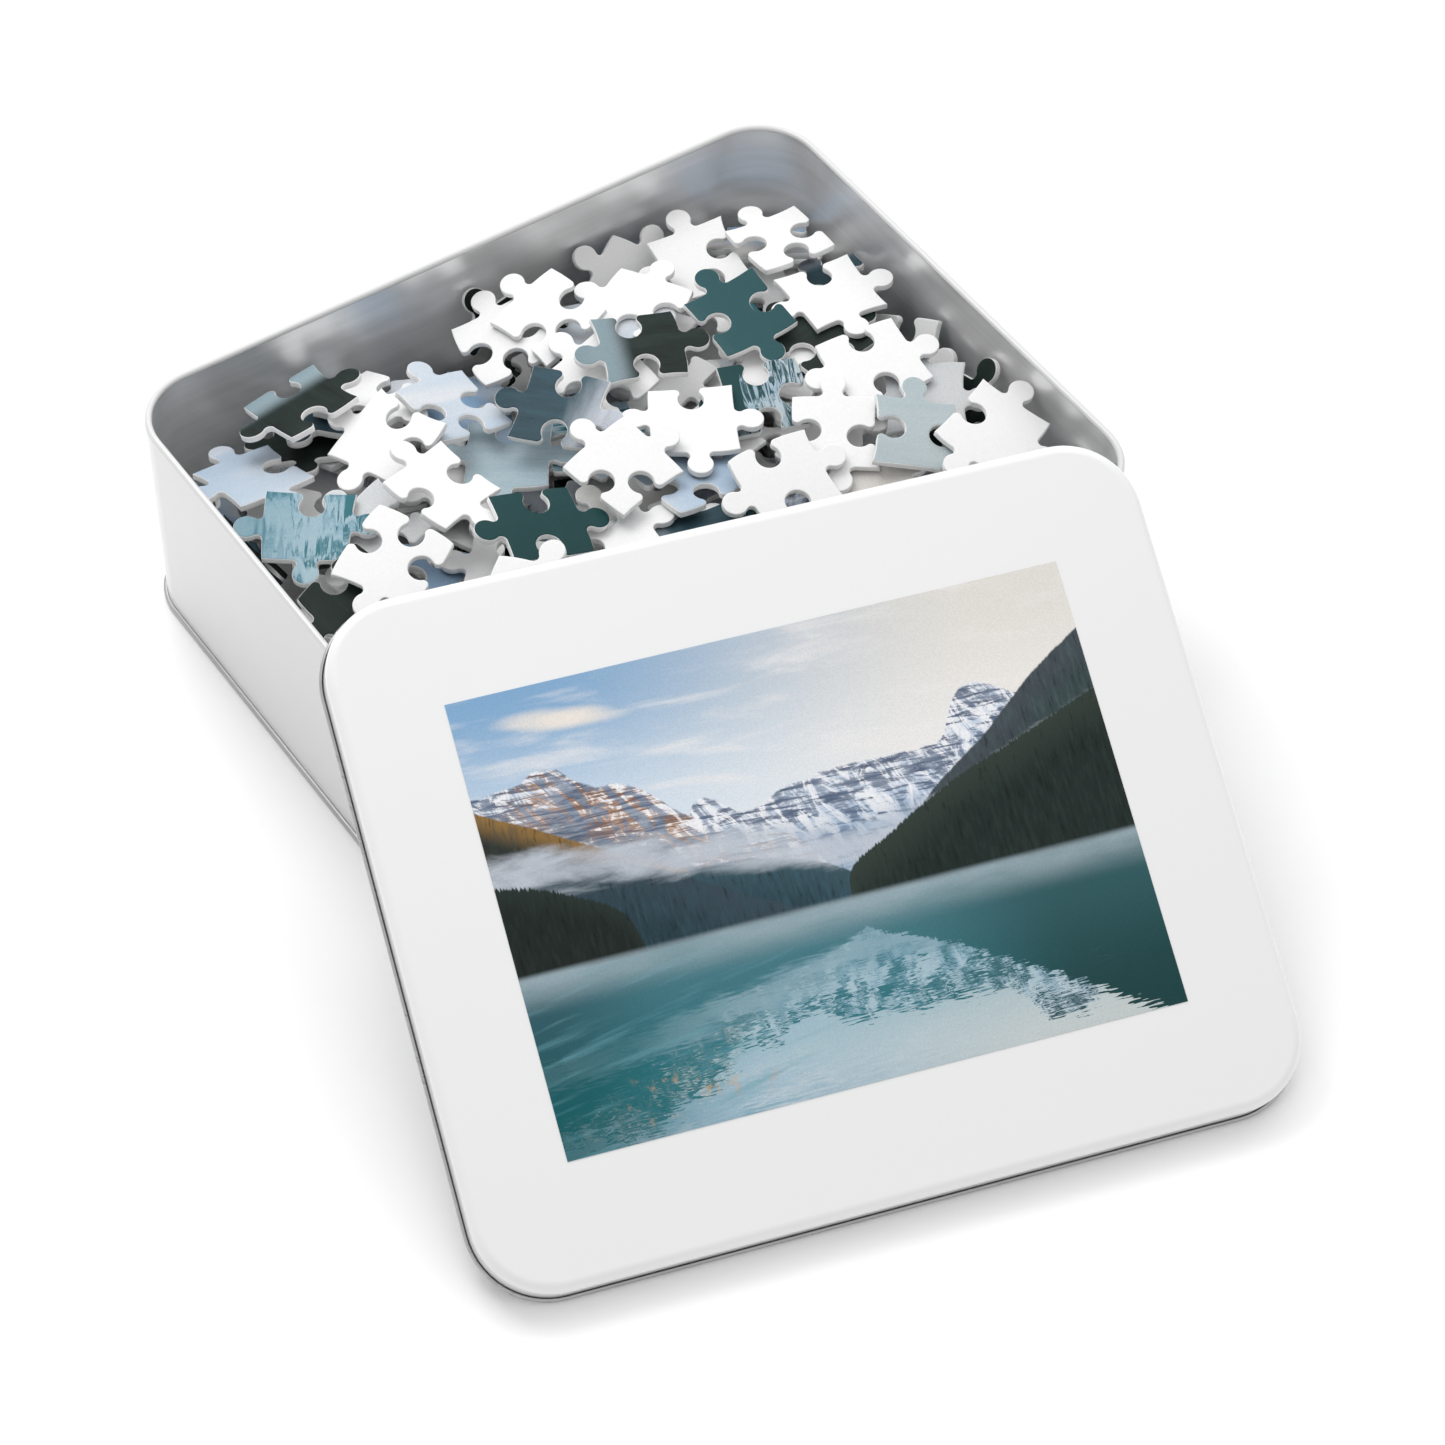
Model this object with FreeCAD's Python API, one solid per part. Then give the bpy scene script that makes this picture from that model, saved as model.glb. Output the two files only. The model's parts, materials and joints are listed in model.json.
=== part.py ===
import FreeCAD, Part
import math
import os
import random

os.makedirs("parts", exist_ok=True)

Vec = FreeCAD.Vector
UP = Vec(0, 0, 1)

# ---------------------------------------------------------------------------
# Driving dimensions, in millimetres and degrees
# The origin is on the floor, under the middle of the tin. +X runs along the
# tin's long side, +Y to its back and +Z up.
# ---------------------------------------------------------------------------

# Tin
tin_length = 190.0
tin_width = 156.5
tin_height = 60.0
tin_corner = 17.0            # outer radius of the upright corners
wall_sheet = 0.30
base_sheet = 0.30
rim_curl = 0.90              # outer radius of the rim, which is curled inwards
seam_height = 1.90           # bead that joins the base to the wall
seam_standout = 0.90
seam_round = 0.55
seam_clearance = 0.08
flange_reach = 0.45          # wall's bottom flange, held in the bead

# Lid
lid_depth = 9.5
lid_sheet = 0.25
lid_clearance = 0.40         # between the tin's wall and the lid's skirt
lid_shoulder = 2.4           # outer radius of the lid's upper edge
hem_curl = 0.625             # outer radius of the hem, which is curled outwards
lid_yaw = -16.2              # the lid leans against the tin's front, turned by this much
lid_from_left = 65.1         # middle of the lid, from the tin's left side
lid_in_front = 41.9          # middle of the lid, in front of the tin's front side
lid_rest_gap = 0.30          # between the lid's underside and the rim it leans on

# Printed picture on the lid
picture_length = 143.4
picture_width = 104.1
picture_thickness = 0.12
picture_gap = 0.01

# Jigsaw pieces: the picture is cut into rows and columns
cut_rows = 16
cut_columns = 22
column_pitch = 20.6
row_pitch = 20.2
piece_thickness = 1.8
knob_radius = 3.15
knob_reach = 6.9             # from the side's base line to the end of the knob
neck_fillet = 1.25
corner_wander = 0.7          # how far a cut's crossing strays from the even grid
knob_wander = 1.2            # how far a knob strays from the middle of its side
side_bow = 0.9               # largest bow of a side's shoulders

# Heap
heap_cell = 1.0              # spacing of the heap's height grid
heap_gap = 0.12              # least space between a piece and what it rests on
wall_gap = 0.35              # least space between a piece and the tin's wall
heap_steepest = 0.34         # steepest slope at which a buried piece comes to rest
top_steepest = 0.26          # and a piece on top of the heap
heap_trials = 7              # places tried for each dropped piece
heap_below_rim = 10.0        # least space between the buried pieces and the rim
lean_below_rim = 39.0        # the same when the leaning pieces fell
buried_layers = 4            # buried pieces are stored in this many layers
push_step = 0.5              # step by which a piece is moved in from the wall


# ---------------------------------------------------------------------------
# Sheet metal that runs round a rounded rectangle
# ---------------------------------------------------------------------------

def line(a, b):
    return Part.LineSegment(Vec(a[0], 0, a[1]), Vec(b[0], 0, b[1])).toShape()


def arc(centre, radius, start, end):
    """Arc in a profile plane, from angle start to angle end, in degrees."""
    points = []
    for angle in (start, (start + end) / 2, end):
        turn = math.radians(angle)
        points.append(Vec(centre[0] + radius * math.cos(turn), 0, centre[1] + radius * math.sin(turn)))
    return Part.Arc(*points).toShape()


def band(edges, length, width, corner):
    """Sweep a profile round a rounded rectangle.

    The profile's first coordinate is the distance outwards from the
    rectangle, and its second is the height.
    """
    profile = Part.Face(Part.Wire(Part.sortEdges(edges)[0]))
    half_length = length / 2 - corner
    half_width = width / 2 - corner
    pieces = []
    for quarter, (x, y) in enumerate([(1, 1), (-1, 1), (-1, -1), (1, -1)]):
        section = profile.copy()
        section.translate(Vec(corner, 0, 0))
        section.rotate(Vec(0, 0, 0), UP, 90 * quarter)
        section.translate(Vec(x * half_length, y * half_width, 0))
        pieces.append(section.revolve(Vec(x * half_length, y * half_width, 0), UP, 90))
        run = half_length if quarter % 2 else half_width
        back = Vec(0, -2 * run, 0)
        back = FreeCAD.Rotation(UP, 90 * quarter).multVec(back)
        pieces.append(section.extrude(back))
    return pieces


def rounded_plate(length, width, corner, low, thickness):
    half_length = length / 2
    half_width = width / 2
    inset = corner * (1 - math.sqrt(0.5))
    edges = []
    for x, y in [(1, 1), (-1, 1), (-1, -1), (1, -1)]:
        beside = Vec(x * half_length, y * (half_width - corner), low)
        above = Vec(x * (half_length - corner), y * half_width, low)
        middle = Vec(x * (half_length - inset), y * (half_width - inset), low)
        edges.append(Part.Arc(beside, middle, above).toShape())
    for y in (1, -1):
        right = Vec(half_length - corner, y * half_width, low)
        left = Vec(corner - half_length, y * half_width, low)
        edges.append(Part.LineSegment(right, left).toShape())
    for x in (1, -1):
        back = Vec(x * half_length, half_width - corner, low)
        front = Vec(x * half_length, corner - half_width, low)
        edges.append(Part.LineSegment(back, front).toShape())
    face = Part.Face(Part.Wire(Part.sortEdges(edges)[0]))
    return face.extrude(Vec(0, 0, thickness))


def join(pieces):
    return pieces[0].fuse(pieces[1:]).removeSplitter()


# ---------------------------------------------------------------------------
# Tin
# ---------------------------------------------------------------------------

def make_tin_wall():
    bottom = base_sheet + seam_clearance
    flange_top = bottom + wall_sheet
    curl_centre = (-rim_curl, tin_height - rim_curl)
    curl_inside = rim_curl - wall_sheet
    edges = [
        line((-wall_sheet, bottom), (flange_reach, bottom)),
        line((flange_reach, bottom), (flange_reach, flange_top)),
        line((flange_reach, flange_top), (0, flange_top)),
        line((0, flange_top), (0, curl_centre[1])),
        arc(curl_centre, rim_curl, 0, 270),
        line((-rim_curl, curl_centre[1] - rim_curl), (-rim_curl, curl_centre[1] - curl_inside)),
        arc(curl_centre, curl_inside, 0, 270),
        line((-wall_sheet, curl_centre[1]), (-wall_sheet, bottom)),
    ]
    return join(band(edges, tin_length, tin_width, tin_corner))


def make_tin_base():
    pocket = seam_standout - base_sheet
    pocket_top = seam_height - base_sheet
    plate_edge = 1.0
    edges = [
        line((-plate_edge, 0), (seam_standout - seam_round, 0)),
        arc((seam_standout - seam_round, seam_round), seam_round, -90, 0),
        line((seam_standout, seam_round), (seam_standout, seam_height - seam_round)),
        arc((seam_standout - seam_round, seam_height - seam_round), seam_round, 0, 90),
        line((seam_standout - seam_round, seam_height), (seam_clearance, seam_height)),
        line((seam_clearance, seam_height), (seam_clearance, pocket_top)),
        line((seam_clearance, pocket_top), (pocket, pocket_top)),
        line((pocket, pocket_top), (pocket, base_sheet)),
        line((pocket, base_sheet), (-plate_edge, base_sheet)),
        line((-plate_edge, base_sheet), (-plate_edge, 0)),
    ]
    shrink = 2 * plate_edge
    plate = rounded_plate(tin_length - shrink, tin_width - shrink, tin_corner - plate_edge, 0, base_sheet)
    return join([plate] + band(edges, tin_length, tin_width, tin_corner))


# ---------------------------------------------------------------------------
# Lid, made with its top face in the plane z = 0 and then leaned on the tin
# ---------------------------------------------------------------------------

lid_side = lid_sheet + lid_clearance
lid_length = tin_length + 2 * lid_side
lid_width = tin_width + 2 * lid_side
lid_corner = tin_corner + lid_side


def make_lid():
    inside_shoulder = lid_shoulder - lid_sheet
    shoulder = (-lid_shoulder, -lid_shoulder)
    hem = (hem_curl - lid_sheet, hem_curl - lid_depth)
    hem_inside = hem_curl - lid_sheet
    edges = [
        arc(shoulder, lid_shoulder, 90, 0),
        line((0, -lid_shoulder), (0, hem[1])),
        arc(hem, hem_inside, 180, 450),
        line((hem[0], hem[1] + hem_inside), (hem[0], hem[1] + hem_curl)),
        arc(hem, hem_curl, 180, 450),
        line((-lid_sheet, hem[1]), (-lid_sheet, -lid_shoulder)),
        arc(shoulder, inside_shoulder, 0, 90),
        line((-lid_shoulder, -lid_sheet), (-lid_shoulder, 0)),
    ]
    shrink = 2 * lid_shoulder
    panel = rounded_plate(lid_length - shrink, lid_width - shrink, lid_corner - lid_shoulder, -lid_sheet, lid_sheet)
    return join([panel] + band(edges, lid_length, lid_width, lid_corner))


def make_picture():
    picture = Part.makeBox(picture_length, picture_width, picture_thickness)
    picture.translate(Vec(-picture_length / 2, -picture_width / 2, picture_gap))
    return picture


def outline_points(length, width, corner, height, steps=24):
    points = []
    for quarter, (x, y) in enumerate([(1, 1), (-1, 1), (-1, -1), (1, -1)]):
        for step in range(steps + 1):
            turn = math.radians(90 * (quarter + step / steps))
            px = x * (length / 2 - corner) + corner * math.cos(turn)
            py = y * (width / 2 - corner) + corner * math.sin(turn)
            points.append(Vec(px, py, height))
    return points


def lid_placement_at(tilt):
    """Lean the lid by tilt with the lowest point of its hem on the floor."""
    turn = FreeCAD.Rotation(UP, lid_yaw) * FreeCAD.Rotation(Vec(1, 0, 0), tilt)
    reach = hem_curl - lid_sheet
    hem = outline_points(lid_length + 2 * reach, lid_width + 2 * reach, lid_corner + reach, hem_curl - lid_depth)
    lowest = min(turn.multVec(point).z for point in hem)
    centre = Vec(lid_from_left - tin_length / 2, -lid_in_front - tin_width / 2, hem_curl - lowest)
    return FreeCAD.Placement(centre, turn)


def lid_space_over_rim(placement):
    """Least distance from the lid's underside to the rim's curl."""
    back = placement.inverse()
    inset = 2 * rim_curl
    rim = outline_points(tin_length - inset, tin_width - inset, tin_corner - rim_curl, tin_height - rim_curl)
    under_lid = []
    for point in rim:
        seen = back.multVec(point)
        if abs(seen.x) < tin_length / 2 and abs(seen.y) < tin_width / 2:
            under_lid.append(-lid_sheet - (seen.z + rim_curl))
    return min(under_lid)


def lean_lid():
    """Find the tilt that leaves the named gap between the lid and the rim."""
    low = 15.0
    high = 50.0
    for _ in range(40):
        tilt = (low + high) / 2
        if lid_space_over_rim(lid_placement_at(tilt)) > lid_rest_gap:
            high = tilt
        else:
            low = tilt
    return lid_placement_at(high)


# ---------------------------------------------------------------------------
# Shapes of the jigsaw pieces
# ---------------------------------------------------------------------------

def wander(kind, row, column, limit):
    """A fixed irregularity of the cut, between -limit and limit."""
    return random.Random(f"{kind} {row} {column}").uniform(-limit, limit)


def cut_corner(row, column):
    """Crossing of two cuts. Crossings on the picture's edge stay on it."""
    x = column * column_pitch
    y = row * row_pitch
    if 0 < column < cut_columns:
        x += wander("corner x", row, column, corner_wander)
    if 0 < row < cut_rows:
        y += wander("corner y", row, column, corner_wander)
    return Vec(x, y, 0)


def cut_points(start, end, kind, row, column):
    """Points of one wavy cut: ends of its arcs, with each arc's middle between.

    The cut runs from start to end, and a positive height is on its left.
    """
    along = end - start
    length = along.Length
    along.normalize()
    left = Vec(-along.y, along.x, 0)
    way = 1 if wander(kind + " way", row, column, 1) > 0 else -1
    middle = length / 2 + wander(kind + " knob", row, column, knob_wander)
    bow = wander(kind + " bow", row, column, side_bow)
    if abs(bow) < 0.25:
        bow = math.copysign(0.25, bow)
    rise = knob_reach - knob_radius
    spread = math.sqrt((knob_radius + neck_fillet) ** 2 - (rise - neck_fillet) ** 2)
    share = neck_fillet / (knob_radius + neck_fillet)

    def shoulder_middle(run):
        radius = (run * run + bow * bow) / (2 * abs(bow))
        turn = math.asin(run / radius) / 2
        return radius * math.sin(turn), bow - math.copysign(radius * (1 - math.cos(turn)), bow)

    def half(sign, run):
        """Corner, shoulder, neck and start of the knob on one half of the cut."""
        back, height = shoulder_middle(run)
        touch_in = spread * (1 - share)
        touch_up = neck_fillet + (rise - neck_fillet) * share
        lean = Vec(spread * share, (rise - neck_fillet) * share - neck_fillet, 0)
        lean.normalize()
        return [
            (middle - sign * (spread + run), 0),
            (middle - sign * (spread + back), height),
            (middle - sign * spread, bow),
            (middle - sign * (spread - neck_fillet * lean.x), bow + way * neck_fillet * (1 + lean.y)),
            (middle - sign * touch_in, bow + way * touch_up),
        ]

    first = half(1, middle - spread)
    second = half(-1, length - middle - spread)
    second.reverse()
    flat = first + [(middle, bow + way * knob_reach)] + second
    return [start + along * s + left * w for s, w in flat]


def piece_sides(row, column):
    """The piece's four cuts, anticlockwise, each as a list of points."""
    low_left = cut_corner(row, column)
    low_right = cut_corner(row, column + 1)
    high_right = cut_corner(row + 1, column + 1)
    high_left = cut_corner(row + 1, column)
    sides = []
    for a, b, kind, r, c, on_edge, forward in [
        (low_left, low_right, "level", row, column, row == 0, True),
        (low_right, high_right, "upright", row, column + 1, column + 1 == cut_columns, True),
        (high_left, high_right, "level", row + 1, column, row + 1 == cut_rows, False),
        (low_left, high_left, "upright", row, column, column == 0, False),
    ]:
        points = [a, b] if on_edge else cut_points(a, b, kind, r, c)
        if not forward:
            points.reverse()
        sides.append(points)
    return sides


def piece_outline(row, column):
    """The piece's cuts, measured from the middle of its corners."""
    sides = piece_sides(row, column)
    middle = Vec(0, 0, 0)
    for points in sides:
        middle += points[0] * 0.25
    return [[point - middle for point in points] for points in sides]


def piece_solid(row, column):
    """The piece, lying flat with its printed side up and its middle at the origin."""
    edges = []
    for points in piece_outline(row, column):
        if len(points) == 2:
            edges.append(Part.LineSegment(points[0], points[1]).toShape())
            continue
        for index in range(0, len(points) - 1, 2):
            edges.append(Part.Arc(points[index], points[index + 1], points[index + 2]).toShape())
    solid = Part.Face(Part.Wire(edges)).extrude(Vec(0, 0, piece_thickness))
    solid.translate(Vec(0, 0, -piece_thickness / 2))
    return solid


def piece_reach(row, column):
    """Simple shapes that hold the piece: a box, and one stadium for each tab."""
    xs = []
    ys = []
    tabs = []
    for points in piece_outline(row, column):
        corners = [points[0], points[-1]]
        if len(points) > 2:
            corners = points[:3] + points[-3:]
            tip = points[len(points) // 2]
            foot = (points[2] + points[-3]) * 0.5
            stem = tip - foot
            outward = foot.dot(stem) > 0
            if outward:
                tabs.append((foot, foot + stem * (1 - knob_radius / knob_reach)))
        xs += [point.x for point in corners]
        ys += [point.y for point in corners]
    return (min(xs), max(xs), min(ys), max(ys)), tabs


# ---------------------------------------------------------------------------
# Heap: each piece comes to rest on the pieces below it
# ---------------------------------------------------------------------------

inner_length = tin_length - 2 * (wall_sheet + wall_gap)
inner_width = tin_width - 2 * (wall_sheet + wall_gap)
inner_corner = tin_corner - wall_sheet - wall_gap
grid_columns = int(tin_length / heap_cell) + 1
grid_rows = int(tin_width / heap_cell) + 1
grid_x = -heap_cell * (grid_columns - 1) / 2
grid_y = -heap_cell * (grid_rows - 1) / 2
heap_floor = base_sheet + heap_gap
surface = [[heap_floor] * grid_columns for _ in range(grid_rows)]


class Piece:
    """One jigsaw piece at rest in the heap."""

    def __init__(self, row, column, x, y, heading, face_up):
        self.row = row
        self.column = column
        self.x = x
        self.y = y
        self.heading = heading
        self.face_up = face_up
        self.slope_x = 0.0
        self.slope_y = 0.0
        self.z = 0.0
        self.box, self.tabs = piece_reach(row, column)
        self.outline = [point for points in piece_outline(row, column) for point in points]
        for _, knob in self.tabs:
            for step in range(12):
                turn = math.radians(30 * step)
                self.outline.append(knob + Vec(knob_radius * math.cos(turn), knob_radius * math.sin(turn), 0))
        if not face_up:
            left, right, low, high = self.box
            self.box = (left, right, -high, -low)
            self.tabs = [(Vec(a.x, -a.y, 0), Vec(b.x, -b.y, 0)) for a, b in self.tabs]

    def rotation(self):
        """Turn from lying flat with the print up to lying in the heap."""
        normal = Vec(-self.slope_x, -self.slope_y, 1)
        turn = FreeCAD.Rotation(UP, normal) * FreeCAD.Rotation(UP, self.heading)
        if not self.face_up:
            turn = turn * FreeCAD.Rotation(Vec(1, 0, 0), 180)
        return turn

    def top(self):
        """Height of the piece's highest corner, or a little over it."""
        half = (self.box[1] - self.box[0]) / 2
        return self.z + math.hypot(self.slope_x, self.slope_y) * half * math.sqrt(2)

    def placement(self):
        return FreeCAD.Placement(Vec(self.x, self.y, self.z), self.rotation())

    def fits_in_tin(self):
        """Whether the whole outline is inside the tin's wall."""
        turn = self.rotation()
        for point in self.outline:
            for side in (-0.5, 0.5):
                corner = turn.multVec(point + Vec(0, 0, side * piece_thickness))
                over_x = abs(self.x + corner.x) - (inner_length / 2 - inner_corner)
                over_y = abs(self.y + corner.y) - (inner_width / 2 - inner_corner)
                if over_x > inner_corner or over_y > inner_corner:
                    return False
                if over_x > 0 and over_y > 0 and math.hypot(over_x, over_y) > inner_corner:
                    return False
        return True

    def push_in(self):
        """Move the piece a step from the wall towards the middle of the tin."""
        away = math.hypot(self.x / inner_length, self.y / inner_width)
        self.x -= push_step * self.x / inner_length / away
        self.y -= push_step * self.y / inner_width / away

    def covered(self, margin):
        """Grid points under or over the piece, with a margin round it."""
        turn = FreeCAD.Rotation(UP, Vec(-self.slope_x, -self.slope_y, 1)) * FreeCAD.Rotation(UP, self.heading)
        across = turn.multVec(Vec(1, 0, 0))
        along = turn.multVec(Vec(0, 1, 0))
        ux = across.x + self.slope_x * across.z
        uy = across.y + self.slope_y * across.z
        vx = along.x + self.slope_x * along.z
        vy = along.y + self.slope_y * along.z
        left, right, low, high = self.box
        reach = math.hypot(max(right, -left), max(high, -low)) + margin
        for start, end in self.tabs:
            reach = max(reach, end.Length + knob_radius + margin)
        tab_square = (knob_radius + margin) ** 2
        found = []
        first_row = max(0, math.ceil((self.y - reach - grid_y) / heap_cell))
        last_row = min(grid_rows - 1, math.floor((self.y + reach - grid_y) / heap_cell))
        first_column = max(0, math.ceil((self.x - reach - grid_x) / heap_cell))
        last_column = min(grid_columns - 1, math.floor((self.x + reach - grid_x) / heap_cell))
        for j in range(first_row, last_row + 1):
            dy = grid_y + j * heap_cell - self.y
            for i in range(first_column, last_column + 1):
                dx = grid_x + i * heap_cell - self.x
                u = ux * dx + uy * dy
                v = vx * dx + vy * dy
                if left - margin < u < right + margin and low - margin < v < high + margin:
                    found.append((i, j, dx, dy))
                    continue
                for start, end in self.tabs:
                    sx = end.x - start.x
                    sy = end.y - start.y
                    share = ((u - start.x) * sx + (v - start.y) * sy) / (sx * sx + sy * sy)
                    share = min(1.0, max(0.0, share))
                    du = u - start.x - share * sx
                    dv = v - start.y - share * sy
                    if du * du + dv * dv < tab_square:
                        found.append((i, j, dx, dy))
                        break
        return found

    def settle(self):
        """Rest the piece on the three points that carry its middle."""
        points = []
        for i, j, dx, dy in self.covered(heap_cell * math.sqrt(2)):
            points.append((dx, dy, surface[j][i]))
        far = 1000.0
        feet = [(far, far, -far), (-2 * far, far, -far), (far, -2 * far, -far)]
        while True:
            slope_x, slope_y, height = plane_through(feet)
            over, dx, dy, top = max((h - slope_x * x - slope_y * y, x, y, h) for x, y, h in points)
            if over < height + 1e-6:
                break
            feet = swap_foot(feet, (dx, dy, top))
        self.slope_x = slope_x
        self.slope_y = slope_y
        steepness = math.sqrt(1 + slope_x ** 2 + slope_y ** 2)
        self.z = height + heap_gap + piece_thickness / 2 * steepness
        return math.hypot(slope_x, slope_y)

    def lean(self, slope_x, slope_y):
        """Lower the piece at a fixed slope until it meets what is below it."""
        self.slope_x = slope_x
        self.slope_y = slope_y
        steepness = math.sqrt(1 + slope_x ** 2 + slope_y ** 2)
        margin = heap_cell * math.sqrt(2) + piece_thickness * math.hypot(slope_x, slope_y) / steepness / 2
        height = max(surface[j][i] - slope_x * dx - slope_y * dy for i, j, dx, dy in self.covered(margin))
        self.z = height + heap_gap + piece_thickness / 2 * steepness

    def come_to_rest(self, slopes, steepest):
        """Lean at the given slopes, or settle, but not too steeply."""
        if slopes:
            self.lean(*slopes)
            return
        slope = self.settle()
        if slope > steepest:
            ease = steepest / slope
            self.lean(self.slope_x * ease, self.slope_y * ease)

    def raise_surface(self):
        """Let later pieces rest on this one."""
        slope = math.hypot(self.slope_x, self.slope_y)
        steepness = math.sqrt(1 + slope * slope)
        margin = heap_cell * math.sqrt(2) + piece_thickness * slope / steepness / 2
        lift = self.z + piece_thickness / 2 * steepness
        lift += (abs(self.slope_x) + abs(self.slope_y)) * heap_cell
        for i, j, dx, dy in self.covered(margin):
            top = lift + self.slope_x * dx + self.slope_y * dy
            if top > surface[j][i]:
                surface[j][i] = top


def plane_through(feet):
    (ax, ay, az), (bx, by, bz), (cx, cy, cz) = feet
    det = (bx - ax) * (cy - ay) - (cx - ax) * (by - ay)
    slope_x = ((bz - az) * (cy - ay) - (cz - az) * (by - ay)) / det
    slope_y = ((bx - ax) * (cz - az) - (cx - ax) * (bz - az)) / det
    return slope_x, slope_y, az - slope_x * ax - slope_y * ay


def swap_foot(feet, new):
    """Replace the foot that leaves the middle inside the new triangle."""
    best = None
    for out in range(3):
        trial = feet[:out] + [new] + feet[out + 1:]
        turns = []
        for k in range(3):
            ax, ay, _ = trial[k]
            bx, by, _ = trial[(k + 1) % 3]
            turns.append(ax * by - ay * bx)
        total = sum(turns)
        if abs(total) < 1e-9:
            continue
        inside = min(turn / total for turn in turns)
        if best is None or inside > best[0]:
            best = (inside, trial)
    return best[1]


def drop_buried(cells, luck, highest):
    """Drop buried pieces one by one, each in the lowest of a few places, up to a height."""
    buried = []
    while cells:
        row, column = cells.pop()
        face_up = luck.random() < 0.5
        best = None
        tries = 0
        while tries < heap_trials or best is None:
            tries += 1
            x = luck.uniform(-0.5, 0.5) * inner_length
            y = luck.uniform(-0.5, 0.5) * inner_width
            piece = Piece(row, column, x, y, luck.uniform(0, 360), face_up)
            while not piece.fits_in_tin():
                piece.push_in()
            piece.come_to_rest(None, heap_steepest)
            if not piece.fits_in_tin():
                continue
            if best is None or piece.top() < best.top():
                best = piece
        piece = best
        if piece.top() > highest:
            cells.append((row, column))
            break
        piece.raise_surface()
        buried.append(piece)
    return buried


# ---------------------------------------------------------------------------
# Pieces on top of the heap, in the order in which they fell.
# Each has its place as shares of the tin's inner length and width, its
# heading, its sides as seen from above (right, back, left, front: T for a
# tab, B for a blank, - for a straight side, ? for any), and the part of the
# picture that it shows, or "back" if it lies with its print down.
# ---------------------------------------------------------------------------

RESTING = [
    (0.035, -0.345, -10, "????", "slate"),
    (0.245, 0.600, -20, "????", "sky"),
    (-0.160, -0.180, -10, "????", "back"),
    (0.690, 0.190, 10, "????", "forest"),
    (-0.800, 0.640, 5, "????", "sky"),
    (0.780, -0.220, -35, "????", "pale"),
    (0.480, -0.470, 12, "????", "pale"),
    (-0.410, 0.740, 20, "????", "back"),
    (0.000, 0.735, -6, "????", "back"),
    (0.105, -0.110, 3, "T???", "sky"),
    (0.610, 0.740, -10, "??T?", "back"),
    (-0.270, 0.520, 4, "BTB?", "sky"),
    (-0.480, 0.480, 20, "????", "back"),
    (-0.650, 0.190, 14, "?T??", "pale"),
    (0.350, 0.610, 30, "????", "back"),
    (0.110, 0.690, 10, "????", "back"),
    (-0.470, 0.180, 18, "????", "back"),
    (-0.800, 0.300, -35, "????", "lake"),
    (-0.600, 0.750, 6, "TBTB", "forest"),
    (0.800, 0.330, -5, "????", "back"),
    (0.800, 0.620, -4, "?T??", "back"),
    (0.100, 0.380, 10, "????", "back"),
    (-0.870, -0.020, 15, "????", "forest"),
    (-0.700, 0.000, 25, "??T?", "back"),
    (0.540, 0.385, 0, "BTBT", "lake"),
    (0.430, 0.050, -22, "?BTB", "lake"),
    (0.215, 0.060, -28, "????", "back"),
    (0.220, 0.375, -20, "TBTB", "forest"),
    (-0.060, 0.300, 40, "BTBT", "slate"),
    (-0.320, -0.085, -12, "TBTB", "lake"),
    (-0.045, -0.030, 12, "????", "back"),
    (0.720, -0.040, -6, "TBTB", "back"),
    (0.500, -0.220, -35, "BTBT", "back"),
    (0.295, -0.310, -4, "TBTB", "back"),
    (0.655, -0.370, -34, "BTB-", "shore"),
    (0.840, -0.490, 20, "????", "back"),
    (-0.500, -0.350, 35, "????", "back"),
    (-0.150, -0.600, -15, "????", "back"),
    (0.400, -0.700, 8, "????", "lake"),
]

# Steep pieces that lean on a wall: the same, with the slopes at which they lean.
LEANING = [
    (0.060, 0.930, 12, "????", "slate", 0.1, 1.35),
    (0.480, 0.930, 40, "TTTT", "back", 0.0, 1.05),
    (0.960, 0.110, 30, "????", "back", 1.45, 0.1),
    (0.960, -0.300, 10, "????", "forest", 1.30, -0.1),
    (0.960, -0.680, 25, "????", "back", 1.40, 0.0),
    (-0.930, 0.800, -8, "????", "sky", -0.9, 0.5),
    (-0.960, 0.520, 40, "????", "forest", -1.5, 0.0),
]

# Parts of the picture, as lowest row, highest row, first and last column.
PICTURE_PARTS = {
    "sky": (12, 15, 0, 9),
    "pale": (12, 15, 12, 20),
    "slate": (7, 8, 3, 11),
    "forest": (6, 9, 14, 21),
    "lake": (1, 5, 11, 21),
    "shore": (0, 0, 12, 20),
    "back": (0, 15, 0, 21),
}


def sides_from_above(row, column, face_up):
    """The piece's right, back, left and front sides, as letters."""
    letters = []
    for points in piece_outline(row, column):
        if len(points) == 2:
            letters.append("-")
            continue
        foot = (points[2] + points[-3]) * 0.5
        stem = points[len(points) // 2] - foot
        letters.append("T" if foot.dot(stem) > 0 else "B")
    front, right, back, left = letters
    if not face_up:
        front, back = back, front
    return right + back + left + front


def choose_cell(cells, wanted, part, face_up):
    """Find an unused cell with the wanted sides, and the quarter turns it needs."""
    low, high, first, last = PICTURE_PARTS[part]
    for row, column in cells:
        if not (low <= row <= high and first <= column <= last):
            continue
        sides = sides_from_above(row, column, face_up)
        if "-" in sides and "-" not in wanted:
            continue
        for turns in range(4):
            seen = sides[4 - turns:] + sides[:4 - turns]
            if all(want in ("?", side) for want, side in zip(wanted, seen)):
                return (row, column), turns
    raise ValueError(f"no piece with sides {wanted} in {part}")


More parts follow.
